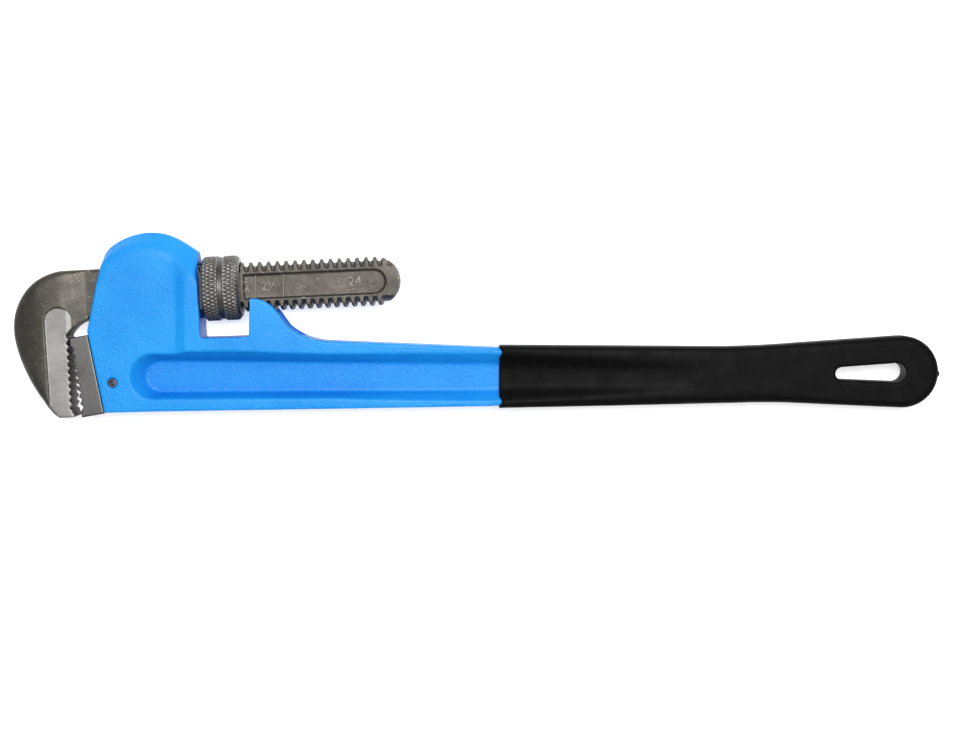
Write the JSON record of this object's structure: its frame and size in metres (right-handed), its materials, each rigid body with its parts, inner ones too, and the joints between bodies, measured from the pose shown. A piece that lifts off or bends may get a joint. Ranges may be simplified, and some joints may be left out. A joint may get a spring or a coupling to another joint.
{
  "type": "pipe wrench",
  "caption": "Straight pipe wrench with a cast I-beam handle in a dipped grip, sliding hook jaw on a threaded shank, knurled adjusting nut and pinned toothed heel jaw.",
  "frame": {"origin": "middle of the tool's bounding box, at its lowest level, the underside of the nut when the wrench lies on its side", "axes": "+X along the handle to the hang hole, +Y from the handle to the top of the housing, +Z out of the upper side face"},
  "size_m": [0.601, 0.1196, 0.042],
  "materials": {
    "frame_paint": "gloss enamel over a cast surface",
    "forged_steel": "dark forged scale, ground bright on the flats",
    "nut_steel": "black oxide, diamond knurl",
    "jaw_steel": "ground",
    "spring_steel": "oiled spring steel",
    "vinyl": "satin dipped vinyl"
  },
  "bodies": {
    "handle": {"frame_handle": "frame_paint", "heel_jaw": "jaw_steel", "heel_jaw_pin": "spring_steel", "grip": "vinyl", "coil_spring": "spring_steel"},
    "rocker": {"flat_spring": "spring_steel"},
    "jaw": {"hook_jaw": "forged_steel"},
    "nut": {"adjusting_nut": "nut_steel"}
  },
  "joints": [
    {"name": "jaw_rock", "type": "hinge", "parent": "handle", "child": "rocker", "pos_m": [-0.2133, 0.02164, 0.021], "axis": [0, 0, 1], "range_deg": [-3.5, 0], "stiffness_Nm_per_rad": 30, "springref_deg": 2.86, "deforming": ["coil_spring"]},
    {"name": "jaw_slide", "type": "slide", "parent": "rocker", "child": "jaw", "axis": [-0.999, -0.0455, 0], "range_m": [0, 0.088]},
    {"name": "nut_spin", "type": "hinge", "parent": "rocker", "child": "nut", "pos_m": [-0.16535, 0.02383, 0.021], "axis": [0.999, 0.0455, 0], "range_deg": [-5, 5514.6]}
  ],
  "couplings": [
    {"joint": "nut_spin", "follows": "jaw_slide", "rad_per_m": 1092.7}
  ]
}
